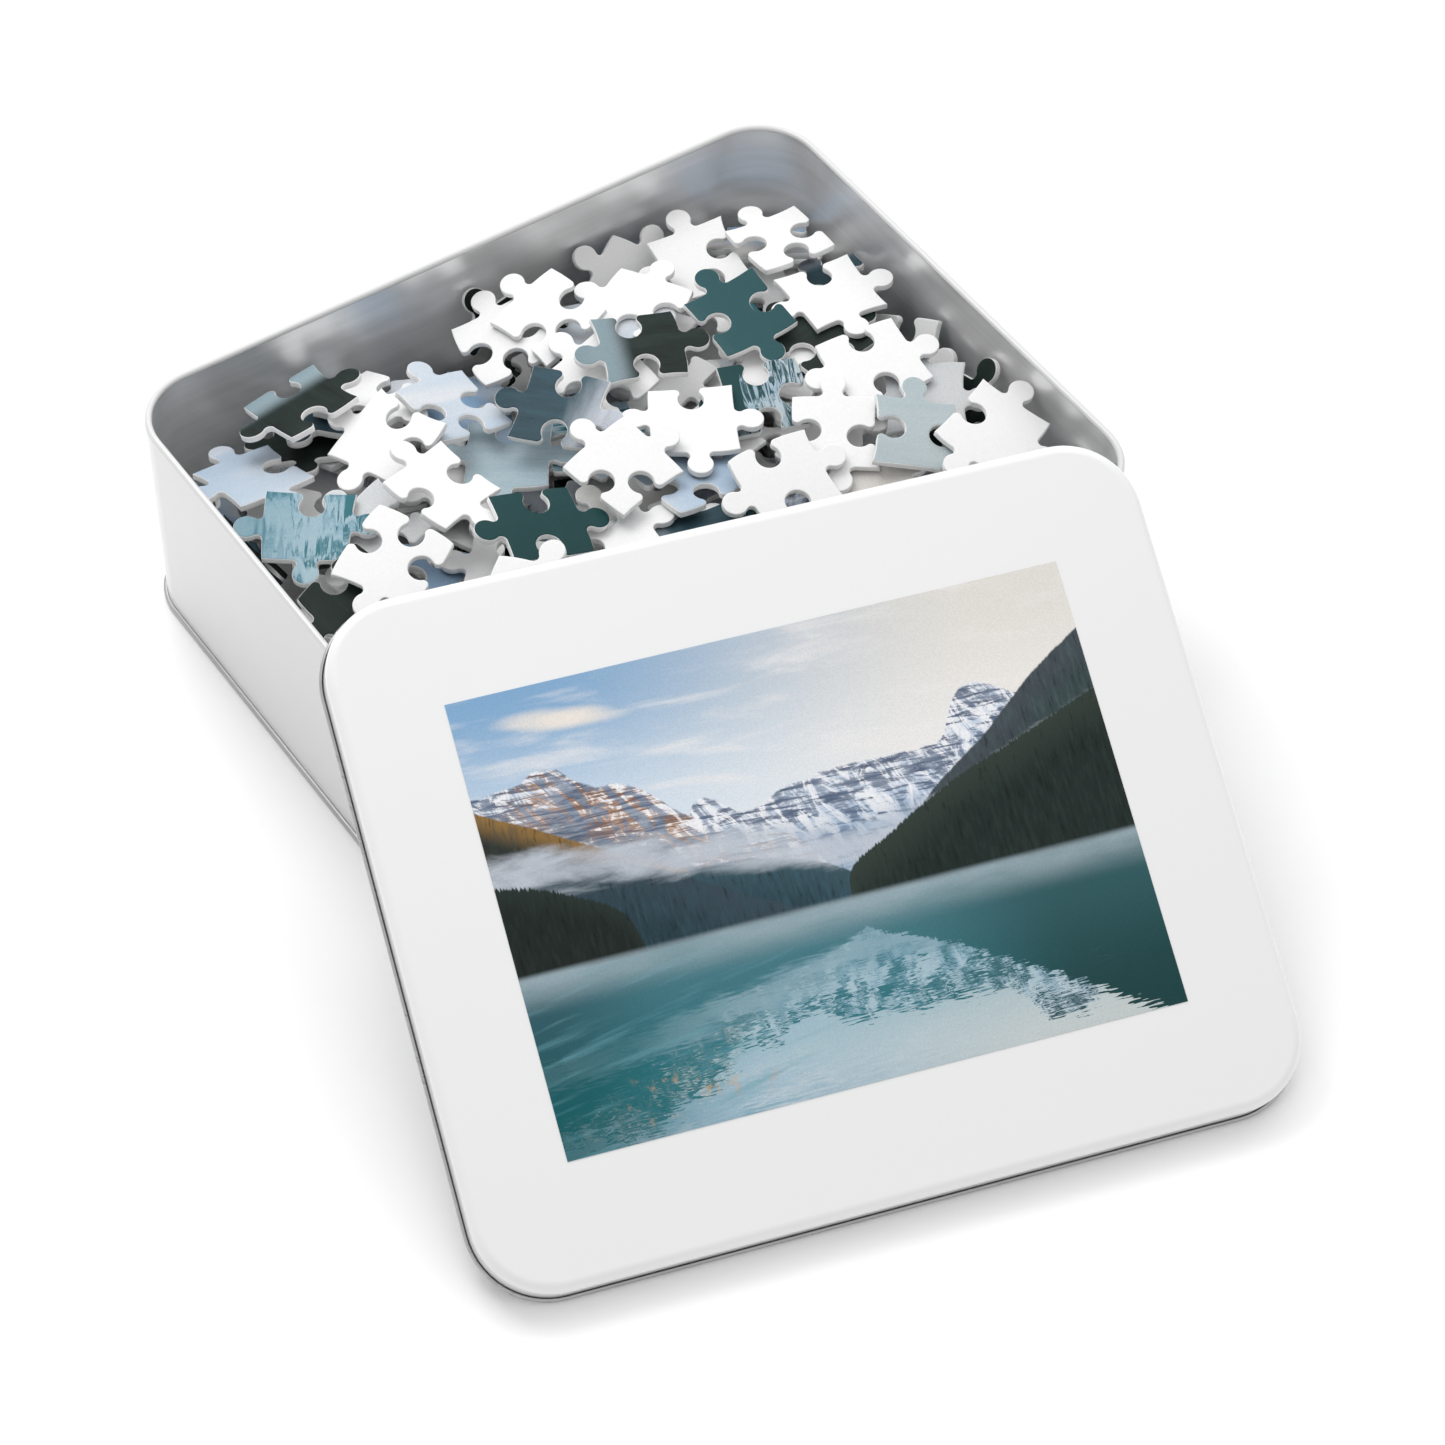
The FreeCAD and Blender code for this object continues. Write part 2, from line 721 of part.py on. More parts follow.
def lay(chosen):
    """Lay chosen pieces on the heap, in order."""
    top = []
    for (share_x, share_y, heading, _, _, *slopes), ((row, column), turns, face_up) in chosen:
        x = share_x * inner_length / 2
        y = share_y * inner_width / 2
        piece = Piece(row, column, x, y, heading + 90 * turns, face_up)
        piece.come_to_rest(slopes, top_steepest)
        while not piece.fits_in_tin():
            piece.push_in()
            piece.come_to_rest(slopes, top_steepest)
        piece.raise_surface()
        top.append(piece)
    return top


# ---------------------------------------------------------------------------
# Everything in its place
# ---------------------------------------------------------------------------

def make_pieces():
    """All the jigsaw pieces at rest: the buried ones and the ones on top."""
    luck = random.Random(5)
    cells = [(row, column) for row in range(cut_rows) for column in range(cut_columns)]
    luck.shuffle(cells)
    chosen = []
    for entry in LEANING + RESTING:
        wanted = entry[3]
        face_up = entry[4] != "back"
        cell, turns = choose_cell(cells, wanted, entry[4], face_up)
        cells.remove(cell)
        chosen.append((entry, (cell, turns, face_up)))
    buried = drop_buried(cells, luck, tin_height - lean_below_rim)
    leaning = lay(chosen[:len(LEANING)])
    buried += drop_buried(cells, luck, tin_height - heap_below_rim)
    return buried, leaning + lay(chosen[len(LEANING):])


def placed(piece):
    solid = piece_solid(piece.row, piece.column)
    solid.Placement = piece.placement() * solid.Placement
    return solid


def make_all():
    """Every node's shape, by name."""
    lean = lean_lid()
    lid = make_lid()
    lid.Placement = lean
    picture = make_picture()
    picture.Placement = lean.multiply(picture.Placement)
    shapes = {"tin_wall": make_tin_wall(), "tin_base": make_tin_base(), "lid": lid, "lid_picture": picture}
    buried, top = make_pieces()
    share = math.ceil(len(buried) / buried_layers)
    for layer in range(buried_layers):
        solids = [placed(piece) for piece in buried[layer * share:(layer + 1) * share]]
        shapes[f"buried_pieces_layer_{layer + 1}"] = Part.makeCompound(solids)
    for piece in top:
        shapes[f"piece_r{piece.row:02}_c{piece.column:02}"] = placed(piece)
    print(len(buried), "buried pieces and", len(top), "on top")
    print("highest piece", round(max(piece.top() for piece in buried + top), 2))
    return shapes


for name, shape in make_all().items():
    shape.exportStep(f"parts/{name}.step")
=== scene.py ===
import json
import math
import random

import bmesh
import bpy
from mathutils import Matrix, Vector


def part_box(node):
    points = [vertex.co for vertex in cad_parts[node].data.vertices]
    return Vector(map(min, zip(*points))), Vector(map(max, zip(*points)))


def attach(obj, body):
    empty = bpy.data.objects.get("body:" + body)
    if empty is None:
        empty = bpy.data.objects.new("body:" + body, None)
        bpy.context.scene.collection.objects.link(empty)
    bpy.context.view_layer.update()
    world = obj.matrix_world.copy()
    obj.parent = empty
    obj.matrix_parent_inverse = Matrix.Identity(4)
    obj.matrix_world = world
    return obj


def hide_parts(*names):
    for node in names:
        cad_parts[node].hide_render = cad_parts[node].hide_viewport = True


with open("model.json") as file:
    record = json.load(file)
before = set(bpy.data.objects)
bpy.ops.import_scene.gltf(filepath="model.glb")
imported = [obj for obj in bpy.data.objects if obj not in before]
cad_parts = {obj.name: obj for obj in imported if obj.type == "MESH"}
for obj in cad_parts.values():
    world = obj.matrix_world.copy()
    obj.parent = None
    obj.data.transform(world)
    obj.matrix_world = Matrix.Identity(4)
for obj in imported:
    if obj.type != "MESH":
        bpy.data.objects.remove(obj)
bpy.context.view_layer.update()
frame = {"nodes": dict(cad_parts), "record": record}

MM = 0.001

# The picture: its proportions, and how the puzzle is cut from it
PICTURE_ASPECT = 1.377
CUT_ROWS = 16
CUT_COLUMNS = 22
COLUMN_PITCH = 20.6 * MM
ROW_PITCH = 20.2 * MM

# Sheet metal
RIM_CURL = 0.9 * MM
HEM_HEIGHT = 1.35 * MM
LID_DEPTH = 9.5 * MM

NODES = frame["nodes"]
RECORD = frame["record"]
SLOT_OF = {part["node"]: part["material_slot"] for part in RECORD["subparts"]}


# ---------------------------------------------------------------------------
# Shader building
# ---------------------------------------------------------------------------

class Shader:
    """Adds nodes to a tree. A value is a number, a colour, or another node's output."""

    def __init__(self, tree):
        self.tree = tree

    def node(self, kind, **settings):
        node = self.tree.nodes.new("ShaderNode" + kind)
        for name, value in settings.items():
            setattr(node, name, value)
        return node

    def put(self, socket, value):
        if isinstance(value, bpy.types.NodeSocket):
            self.tree.links.new(value, socket)
        elif isinstance(value, (tuple, list)) and len(value) == 3 and socket.type == "RGBA":
            socket.default_value = (*value, 1.0)
        else:
            socket.default_value = value

    def math(self, operation, a, b=0.0):
        node = self.node("Math", operation=operation)
        self.put(node.inputs[0], a)
        self.put(node.inputs[1], b)
        return node.outputs[0]

    def add(self, a, b):
        return self.math("ADD", a, b)

    def times(self, a, b):
        return self.math("MULTIPLY", a, b)

    def minus(self, a, b):
        return self.math("SUBTRACT", a, b)

    def step(self, value, low, high, out_low=0.0, out_high=1.0):
        """Smooth step of value from low to high."""
        node = self.node("MapRange", interpolation_type="SMOOTHSTEP")
        for socket, setting in zip(node.inputs, (value, low, high, out_low, out_high)):
            self.put(socket, setting)
        return node.outputs[0]

    def mix(self, share, a, b, blend="MIX"):
        node = self.node("Mix", data_type="RGBA", blend_type=blend)
        self.put(node.inputs[0], share)
        self.put(node.inputs[6], a)
        self.put(node.inputs[7], b)
        return node.outputs[2]

    def vector(self, x, y, z=0.0):
        node = self.node("CombineXYZ")
        for socket, value in zip(node.inputs, (x, y, z)):
            self.put(socket, value)
        return node.outputs[0]

    def split(self, vector):
        node = self.node("SeparateXYZ")
        self.put(node.inputs[0], vector)
        return node.outputs

    def noise(self, vector, scale, detail=3.0, roughness=0.5, distortion=0.0):
        node = self.node("TexNoise")
        self.put(node.inputs["Vector"], vector)
        self.put(node.inputs["Scale"], scale)
        self.put(node.inputs["Detail"], detail)
        self.put(node.inputs["Roughness"], roughness)
        self.put(node.inputs["Distortion"], distortion)
        return node.outputs["Fac"]

    def curve(self, value, points):
        """A smooth line through a few points, over 0 to PICTURE_ASPECT."""
        node = self.node("FloatCurve")
        line = node.mapping.curves[0]
        scaled = [(x / PICTURE_ASPECT, y) for x, y in points]
        line.points[0].location = scaled[0]
        line.points[-1].location = scaled[-1]
        for x, y in scaled[1:-1]:
            line.points.new(x, y)
        for point in line.points:
            point.handle_type = "AUTO_CLAMPED"
        node.mapping.update()
        self.put(node.inputs["Value"], self.times(value, 1 / PICTURE_ASPECT))
        return node.outputs[0]

    def bump(self, height, strength, distance):
        node = self.node("Bump")
        self.put(node.inputs["Strength"], strength)
        self.put(node.inputs["Distance"], distance)
        self.put(node.inputs["Height"], height)
        return node.outputs[0]


def new_material(name):
    """A material with a Principled shader, and the Shader that fills it."""
    material = bpy.data.materials.new(name)
    material.use_nodes = True
    shader = Shader(material.node_tree)
    surface = material.node_tree.nodes["Principled BSDF"]
    place = shader.node("TexCoord").outputs["Object"]
    return material, shader, surface, place


# ---------------------------------------------------------------------------
# The printed picture: a mountain lake at dawn, made of layered ridges
# x runs from 0 to PICTURE_ASPECT and y from 0 at the bottom to 1 at the top
# ---------------------------------------------------------------------------

SHORE = 0.385                  # height of the water line
SCREEN_KNEE = 10               # screen values up to here are proportional to the light
WISP_X = 0.225                 # middle of the bright cloud
WISP_Y = 0.915


def linear(value):
    """The linear strength of a screen value, which runs from 0 to 255."""
    if value > SCREEN_KNEE:
        return ((value / 255 + 0.055) / 1.055) ** 2.4
    return value / 3294.6


def srgb(red, green, blue):
    """A colour given as it looks on a screen, 0 to 255."""
    return tuple(linear(value) for value in (red, green, blue))


def grey(shade, blue=1.0):
    """A linear grey. blue is how much stronger its blue is."""
    return shade, shade, shade * blue


def new_group(name, outputs):
    group = bpy.data.node_groups.new(name, "ShaderNodeTree")
    group.interface.new_socket("Vector", in_out="INPUT", socket_type="NodeSocketVector")
    for output, kind in outputs:
        group.interface.new_socket(output, in_out="OUTPUT", socket_type=kind)
    shader = Shader(group)
    start = group.nodes.new("NodeGroupInput")
    end = group.nodes.new("NodeGroupOutput")
    x, y, _ = shader.split(start.outputs[0])
    return group, shader, x, y, end


def ridge_mask(shader, x, y, points, rough, fine, soft=0.003):
    """1 below a ridge line, 0 above it. rough and fine are the line's unevenness."""
    line = shader.curve(x, points)
    wave = shader.noise(shader.vector(x, 3.1 + points[0][1]), 14.0, 5.0, 0.62)
    line = shader.add(line, shader.times(shader.minus(wave, 0.5), rough))
    if fine:
        teeth = shader.noise(shader.vector(x, 7.7), 170.0, 2.0, 0.5)
        line = shader.add(line, shader.times(teeth, fine))
    depth = shader.minus(line, y)
    return shader.step(depth, -soft, soft), depth


def sky(shader, x, y):
    blue = shader.mix(shader.step(y, 0.62, 1.0), srgb(205, 218, 230), srgb(126, 164, 199))
    cream = shader.mix(shader.step(y, 0.62, 1.0), srgb(233, 230, 226), srgb(217, 214, 208))
    base = shader.mix(shader.step(x, 0.15, 1.2), blue, cream)
    drawn_out = shader.vector(shader.add(x, shader.times(y, 1.6)), shader.times(y, 5.5))
    streaks = shader.noise(drawn_out, 3.2, 5.0, 0.55, 0.4)
    base = shader.mix(shader.step(streaks, 0.48, 0.74, 0.0, 0.62), base, srgb(232, 229, 228))
    across = shader.times(shader.minus(x, WISP_X), 6.4)
    slope = shader.add(shader.minus(y, WISP_Y), shader.times(shader.minus(x, WISP_X), 0.12))
    wisp = shader.noise(shader.vector(x, shader.times(y, 4)), 9.0, 3.0)
    upward = shader.math("POWER", shader.times(slope, 34), 2.0)
    distance = shader.add(shader.times(across, across), upward)
    distance = shader.add(distance, shader.times(wisp, 0.7))
    return shader.mix(shader.step(distance, 0.25, 1.45, 0.85, 0.0), base, srgb(240, 228, 214))


def snowy_rock(shader, x, y, sunlit, snow_level):
    """Layered rock with snow on its ledges. sunlit is how warm the light on it is."""
    dipping = shader.add(y, shader.times(x, 0.05))
    ledges = shader.vector(shader.times(x, 2.4), shader.times(dipping, 20))
    layers = shader.noise(ledges, 4.2, 8.0, 0.66, 0.9)
    slanted = shader.add(x, shader.times(y, 0.5))
    steep = shader.vector(shader.times(slanted, 9), shader.times(y, 4.5))
    gullies = shader.noise(steep, 2.6, 8.0, 0.68, 1.4)
    rock = shader.mix(shader.step(layers, 0.36, 0.60), srgb(84, 100, 124), srgb(150, 158, 172))
    warm = shader.mix(shader.step(layers, 0.38, 0.6), srgb(126, 98, 84), srgb(200, 162, 134))
    light = shader.times(shader.step(gullies, 0.45, 0.54), sunlit)
    rock = shader.mix(light, rock, warm)
    cover = shader.add(shader.times(layers, 0.5), shader.times(gullies, 0.5))
    snow = shader.times(shader.step(shader.add(cover, snow_level), 0.49, 0.555), 0.95)
    shaded = shader.step(gullies, 0.38, 0.60)
    snow_tone = shader.mix(shaded, srgb(168, 188, 212), srgb(236, 237, 240))
    return shader.mix(snow, rock, snow_tone)


def slope_colour(shader, x, y, depth, top, foot, fall):
    """A wooded slope, fading from its crest to its foot, with faint columns of trees."""
    trees = shader.noise(shader.vector(shader.times(x, 34), shader.times(y, 6)), 3.0, 4.0, 0.6)
    base = shader.mix(shader.step(depth, 0.0, fall), top, foot)
    lit = tuple(strength * 1.9 for strength in foot)
    shaded = tuple(strength * 0.35 for strength in foot)
    base = shader.mix(shader.step(trees, 0.46, 0.70, 0.0, 0.55), base, lit)
    return shader.mix(shader.step(trees, 0.44, 0.30, 0.0, 0.6), base, shaded)


def add_slope(shader, colour, place, points, unevenness, tones, fall):
    """Lay a wooded slope below a ridge line over the colour so far."""
    x, y = place
    rough, fine = unevenness
    top, foot = tones
    mask, depth = ridge_mask(shader, x, y, points, rough, fine)
    return shader.mix(mask, colour, slope_colour(shader, x, y, depth, top, foot, fall))


def make_scenery():
    """Everything above the water, also used for the reflection in it."""
    group, shader, x, y, end = new_group("scenery", [("Color", "NodeSocketColor")])
    colour = sky(shader, x, y)

    far = [(0.0, 0.55), (0.40, 0.56), (0.475, 0.672), (0.57, 0.622), (0.63, 0.648),
           (0.80, 0.668), (0.99, 0.668), (1.105, 0.778), (1.20, 0.742), (PICTURE_ASPECT, 0.60)]
    mask, depth = ridge_mask(shader, x, y, far, 0.030, 0.004)
    snow_level = shader.step(depth, 0.02, 0.12, 0.012, 0.062)
    massif = snowy_rock(shader, x, y, 0.10, snow_level)
    massif = shader.mix(shader.step(y, 0.60, 0.50, 0.0, 0.6), massif, srgb(104, 138, 170))
    colour = shader.mix(mask, colour, massif)

    left = [(0.0, 0.785), (0.10, 0.79), (0.16, 0.815), (0.25, 0.756), (0.325, 0.742),
            (0.42, 0.665), (0.52, 0.585), (0.64, 0.555), (0.74, 0.44), (PICTURE_ASPECT, 0.30)]
    mask, depth = ridge_mask(shader, x, y, left, 0.034, 0.004)
    sunny = shader.times(shader.step(depth, 0.19, 0.05), shader.step(x, 0.02, 0.16))
    snow_level = shader.step(depth, 0.0, 0.07, 0.012, -0.035)
    rock = snowy_rock(shader, x, y, sunny, snow_level)
    rock = shader.mix(shader.step(depth, 0.09, 0.20, 0.0, 0.85), rock, srgb(72, 84, 98))
    colour = shader.mix(mask, colour, rock)

    hill = [(0.0, 0.755), (0.12, 0.69), (0.24, 0.62), (0.36, 0.56), (0.56, 0.44),
            (PICTURE_ASPECT, 0.20)]
    valley = [(0.0, 0.40), (0.42, 0.53), (0.58, 0.515), (0.74, 0.45), (0.78, 0.39),
              (PICTURE_ASPECT, 0.2)]
    dark = [(0.0, 0.625), (0.31, 0.565), (0.43, 0.50), (0.56, 0.425), (0.66, 0.385),
            (PICTURE_ASPECT, 0.2)]
    behind = [(0.0, 0.2), (0.86, 0.46), (0.94, 0.55), (1.125, 0.672), (1.25, 0.768),
              (PICTURE_ASPECT, 0.845)]
    for points, unevenness, top, foot, fall in (
            (hill, (0.010, 0.006), srgb(140, 108, 62), srgb(44, 50, 46), 0.07),
            (valley, (0.012, 0.004), srgb(56, 80, 90), srgb(42, 66, 76), 0.12),
            (dark, (0.012, 0.006), srgb(54, 70, 80), srgb(38, 58, 66), 0.16),
            (behind, (0.014, 0.006), srgb(66, 74, 80), srgb(54, 68, 70), 0.12)):
        colour = add_slope(shader, colour, (x, y), points, unevenness, (top, foot), fall)

    drift = shader.vector(shader.times(x, 1.6), shader.times(y, 6))
    drift = shader.noise(drift, 3.6, 5.0, 0.6, 0.5)
    cloud_line = [(0.0, 0.615), (0.3, 0.585), (0.6, 0.535), (0.8, 0.50), (PICTURE_ASPECT, 0.66)]
    band = shader.minus(y, shader.curve(x, cloud_line))
    ragged = shader.times(shader.minus(0.62, drift), 0.0075)
    band = shader.add(shader.times(band, band), ragged)
    cloud = shader.step(band, 0.0042, 0.0004, 0.0, 0.9)
    colour = shader.mix(cloud, colour, srgb(188, 195, 205))

    conifers = [(0.0, 0.575), (0.08, 0.555), (0.16, 0.52), (0.25, 0.462), (0.275, 0.40),
                (0.30, 0.30), (PICTURE_ASPECT, 0.1)]
    forest = [(0.0, 0.1), (0.72, 0.33), (0.745, 0.435), (0.85, 0.495), (1.0, 0.567),
              (1.2, 0.637), (PICTURE_ASPECT, 0.70)]
    for points, unevenness, top, foot, fall in (
            (conifers, (0.012, 0.034), srgb(38, 48, 44), srgb(28, 36, 33), 0.06),
            (forest, (0.010, 0.022), srgb(50, 60, 54), srgb(31, 42, 39), 0.10)):
        colour = add_slope(shader, colour, (x, y), points, unevenness, (top, foot), fall)

    shader.put(end.inputs[0], colour)
    return group


def make_landscape(scenery):
    """The whole picture: the scenery, the lake that mirrors it and the mist on the water."""
    group, shader, x, y, end = new_group("mountain_lake", [("Color", "NodeSocketColor")])

    def seen(px, py):
        node = shader.node("Group", node_tree=scenery)
        shader.put(node.inputs[0], shader.vector(px, py))
        return node.outputs[0]

    above = seen(x, y)
    below = shader.math("MAXIMUM", shader.minus(SHORE, y), 0.0)
    ripple = shader.vector(shader.times(x, 7), shader.times(y, 60))
    ripple = shader.times(shader.minus(shader.noise(ripple, 3.0, 2.0, 0.4), 0.5), below)
    mirror_y = shader.add(shader.times(below, 1.12), shader.times(ripple, 0.42))
    mirrored = seen(shader.add(x, shader.times(ripple, 0.10)), shader.add(SHORE, mirror_y))
    teal = shader.mix(shader.step(below, 0.0, 0.30), srgb(70, 116, 126), srgb(16, 104, 112))
    right = shader.mix(shader.step(below, 0.05, 0.3), srgb(36, 76, 78), srgb(8, 46, 42))
    teal = shader.mix(shader.step(x, 0.75, 1.20, 0.0, 0.9), teal, right)
    left = shader.mix(shader.step(below, 0.12, 0.3), srgb(36, 74, 84), srgb(12, 80, 84))
    teal = shader.mix(shader.step(x, 0.34, 0.0, 0.0, 0.75), teal, left)
    bright = shader.node("RGBToBW")
    shader.put(bright.inputs[0], mirrored)
    share = shader.step(bright.outputs[0], 0.06, 0.70, 0.10, 0.90)
    clearer = shader.step(shader.add(x, shader.times(below, 0.5)), 0.20, 0.62, 0.18, 1.0)
    share = shader.times(share, clearer)
    tint = shader.step(below, 0.22, 0.38, 0.60, 0.30)
    water = shader.mix(share, teal, shader.mix(tint, mirrored, srgb(112, 164, 180)))

    glints = shader.vector(shader.times(x, 9), shader.times(y, 7))
    glints = shader.noise(glints, 3.0, 5.0, 0.65)
    place = shader.times(shader.step(x, 0.10, 0.20), shader.step(x, 0.52, 0.40))
    heights = shader.times(shader.step(y, 0.01, 0.05), shader.step(y, 0.15, 0.09))
    place = shader.times(place, heights)
    glints = shader.times(shader.step(glints, 0.56, 0.68, 0.0, 0.6), place)
    water = shader.mix(glints, water, srgb(204, 164, 122))
    sweep = shader.add(y, shader.times(x, -0.16))
    streak = shader.vector(shader.times(x, 1.1), shader.times(sweep, 13))
    streak = shader.step(shader.noise(streak, 3.0, 3.0, 0.5), 0.50, 0.74, 0.0, 0.55)
    streak = shader.times(streak, shader.step(x, 0.75, 0.35))
    water = shader.mix(streak, water, srgb(100, 152, 164))
    colour = shader.mix(shader.step(y, SHORE + 0.0015, SHORE - 0.0015), above, water)

    mist = shader.vector(shader.times(x, 1.2), shader.times(y, 5))
    mist = shader.step(shader.noise(mist, 4.0, 3.0, 0.5), 0.2, 0.7, 0.55, 0.88)
    over = shader.step(y, SHORE + 0.016, SHORE)
    under = shader.step(y, SHORE - 0.085, SHORE - 0.002)
    mist = shader.times(shader.times(over, under), mist)
    colour = shader.mix(mist, colour, srgb(152, 170, 178))
    shader.put(end.inputs[0], colour)
    return group


# ---------------------------------------------------------------------------
# Materials
# ---------------------------------------------------------------------------

ROLLING_STRETCH = 0.06         # rolling lines run round the tin, so they change slowly in plan
PLY_WAVES = 42.0               # how finely the card's side is layered
CARD_GREY = (0.73, 0.73, 0.728)
CARD_WHITE = (0.78, 0.78, 0.778)
PULP_GREY = (0.78, 0.78, 0.775)
PULP_WHITE = (0.88, 0.88, 0.875)
PLY_GREY = (0.70, 0.70, 0.695)
TORN_WHITE = (0.90, 0.90, 0.89)


def white_lacquer(name, shade):
    """Sprayed lacquer over tinplate: very slightly uneven in gloss, tone and surface."""
    material, shader, surface, place = new_material(name)
    tone = shader.noise(place, 26.0, 3.0)
    base = shader.mix(tone, grey(shade * 0.985), grey(shade, 1.004))
    shader.put(surface.inputs["Base Color"], base)
    gloss = shader.noise(place, 60.0, 4.0, 0.6)
    shader.put(surface.inputs["Roughness"], shader.step(gloss, 0.2, 0.8, 0.29, 0.34))
    surface.inputs["Specular IOR Level"].default_value = 0.5
    surface.inputs["Coat Weight"].default_value = 0.5
    surface.inputs["Coat Roughness"].default_value = 0.10
    peel = shader.noise(place, 420.0, 2.0)
    shader.put(surface.inputs["Normal"], shader.bump(peel, 0.03, 0.0001))
    return material


def tinplate(name, shade, rough, grain):
    """Bare rolled tinplate with rolling lines and soft dull patches."""
    material, shader, surface, place = new_material(name)
    x, y, z = shader.split(place)
    rolled = shader.vector(shader.times(x, ROLLING_STRETCH), shader.times(y, ROLLING_STRETCH), z)
    lines = shader.noise(rolled, grain, 3.0, 0.7)
    patches = shader.noise(place, 34.0, 4.0, 0.6)
    base = shader.mix(shader.step(lines, 0.3, 0.7), grey(shade * 0.90), grey(shade, 1.01))
    dull = shader.step(patches, 0.45, 0.75, 0.0, 0.25)
    base = shader.mix(dull, base, grey(shade * 0.8, 1.025))
    shader.put(surface.inputs["Base Color"], base)
    surface.inputs["Metallic"].default_value = 0.65
    smudge = shader.add(shader.times(patches, 0.5), shader.times(lines, 0.5))
    gloss = shader.step(smudge, 0.25, 0.75, rough * 0.8, rough * 1.25)
    shader.put(surface.inputs["Roughness"], gloss)
    shader.put(surface.inputs["Normal"], shader.bump(lines, 0.12, 0.00008))
    return material


def printed(name, landscape, gloss, painted_shade):
    """The landscape under a thin varnish, with dark grain specks. The last argument darkens the
    whole print evenly: painted shade.
    """
    material, shader, surface, place = new_material(name)
    uv = shader.node("UVMap", uv_map="picture").outputs[0]
    picture = shader.node("Group", node_tree=landscape)
    shader.put(picture.inputs[0], uv)
    grain = shader.noise(place, 2600.0, 2.0, 0.6)
    # Dark grain specks, plus an even darkening by the last argument, which is painted shade.
    grain_specks_and_painted_shade = shader.step(grain, 0.3, 0.7, painted_shade, painted_shade + 0.10)
    colour = shader.mix(grain_specks_and_painted_shade, picture.outputs[0], grey(0.0))
    shader.put(surface.inputs["Base Color"], colour)
    patches = shader.noise(place, 120.0, 3.0)
    shader.put(surface.inputs["Roughness"], shader.step(patches, 0.2, 0.8, gloss, gloss + 0.12))
    surface.inputs["Specular IOR Level"].default_value = 0.12
    shader.put(surface.inputs["Normal"], shader.bump(grain, 0.08, 0.00006))
    return material


def card_back():
    """The unprinted side: white lined card with a faint fibre pattern."""
    material, shader, surface, place = new_material("card_back")
    fibres = shader.noise(place, 1500.0, 4.0, 0.7, 1.2)
    tone = shader.noise(place, 45.0, 3.0)
    base = shader.mix(shader.step(fibres, 0.3, 0.7), CARD_GREY, CARD_WHITE)
    base = shader.mix(shader.step(tone, 0.3, 0.8, 0.0, 0.3), base, grey(0.80))
    shader.put(surface.inputs["Base Color"], base)
    surface.inputs["Roughness"].default_value = 0.72
    surface.inputs["Specular IOR Level"].default_value = 0.25
    shader.put(surface.inputs["Normal"], shader.bump(fibres, 0.16, 0.0001))
    return material


def card_edge():
    """The cut side of the card: grey-white plies with torn fibres."""
    material, shader, surface, place = new_material("card_edge")
    fibres = shader.noise(place, 2200.0, 4.0, 0.75, 2.0)
    coarse = shader.noise(place, 480.0, 3.0, 0.6)
    _, level, _ = shader.split(shader.node("UVMap", uv_map="picture").outputs[0])
    wave = shader.math("SINE", shader.times(level, PLY_WAVES))
    ply = shader.step(wave, -0.2, 0.9, 0.0, 0.35)
    base = shader.mix(shader.step(fibres, 0.3, 0.7), PULP_GREY, PULP_WHITE)
    base = shader.mix(ply, base, PLY_GREY)
    base = shader.mix(shader.step(coarse, 0.5, 0.8, 0.0, 0.3), base, TORN_WHITE)
    shader.put(surface.inputs["Base Color"], base)
    surface.inputs["Roughness"].default_value = 0.9
    shader.put(surface.inputs["Normal"], shader.bump(fibres, 0.4, 0.0002))
    return material


# ---------------------------------------------------------------------------
# Tin and lid
# ---------------------------------------------------------------------------

CURL_HEIGHT = 2.02 * RIM_CURL  # the rim's curl, with a little to spare
FLOOR_BELOW = 0.5 * MM         # the base's upward faces below this height are its inner side
PICTURE_WIDTH = 143.4 * MM
WIDTH_SLACK = 0.3 * MM
LID_HALF_LENGTH = 95 * MM
LID_HALF_WIDTH = 79 * MM


def smooth(thing, angle=30.0):
    """Smooth shading, with edges sharper than the angle kept sharp."""
    mesh = thing.data
    for polygon in mesh.polygons:
        polygon.use_smooth = True
    mesh.set_sharp_from_angle(angle=math.radians(angle))


def dress(thing, materials, choose):
    """Give each face of a carried-over node the material that choose picks for it."""
    thing.data.materials.clear()
    for material in materials:
        thing.data.materials.append(material)
    for polygon in thing.data.polygons:
        polygon.material_index = choose(polygon)


def finish_tin(lacquer, bare, seam):
    """Lacquer outside and on the curl, bare metal inside, and the seam on the base's bead. The
    seam's metal is a darker copy of the bare tinplate: painted shade.
    """
    wall = NODES["tin_wall"]
    _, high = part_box("tin_wall")

    def wall_part(polygon):
        centre = polygon.center
        outward = polygon.normal.x * centre.x / high[0] + polygon.normal.y * centre.y / high[1]
        return 1 if outward < -0.2 and centre.z < high[2] - CURL_HEIGHT else 0

    def base_part(polygon):
        return 1 if polygon.normal.z > 0.9 and polygon.center.z < FLOOR_BELOW else 0

    dress(wall, [lacquer, bare], wall_part)
    smooth(wall)
    base = NODES["tin_base"]
    dress(base, [seam, bare], base_part)
    smooth(base)


def lid_matrix():
    """The lid's own frame, from the picture on it: x along it, z out of its face."""
    panel = NODES["lid_picture"].data
    corners = [vertex.co.copy() for vertex in panel.vertices]
    middle = sum(corners, Vector()) / len(corners)
    top = max(panel.polygons, key=lambda face: face.area * (face.normal.z > 0))
    normal = top.normal.normalized()
    spread = [corner - middle for corner in corners]
    steps = [a - b for a in spread for b in spread]
    long_sides = [step for step in steps if abs(step.length - PICTURE_WIDTH) < WIDTH_SLACK]
    along = max(long_sides, key=lambda side: side.x).normalized()
    across = normal.cross(along)
    matrix = Matrix((along, across, normal)).transposed().to_4x4()
    matrix.translation = middle
    return matrix


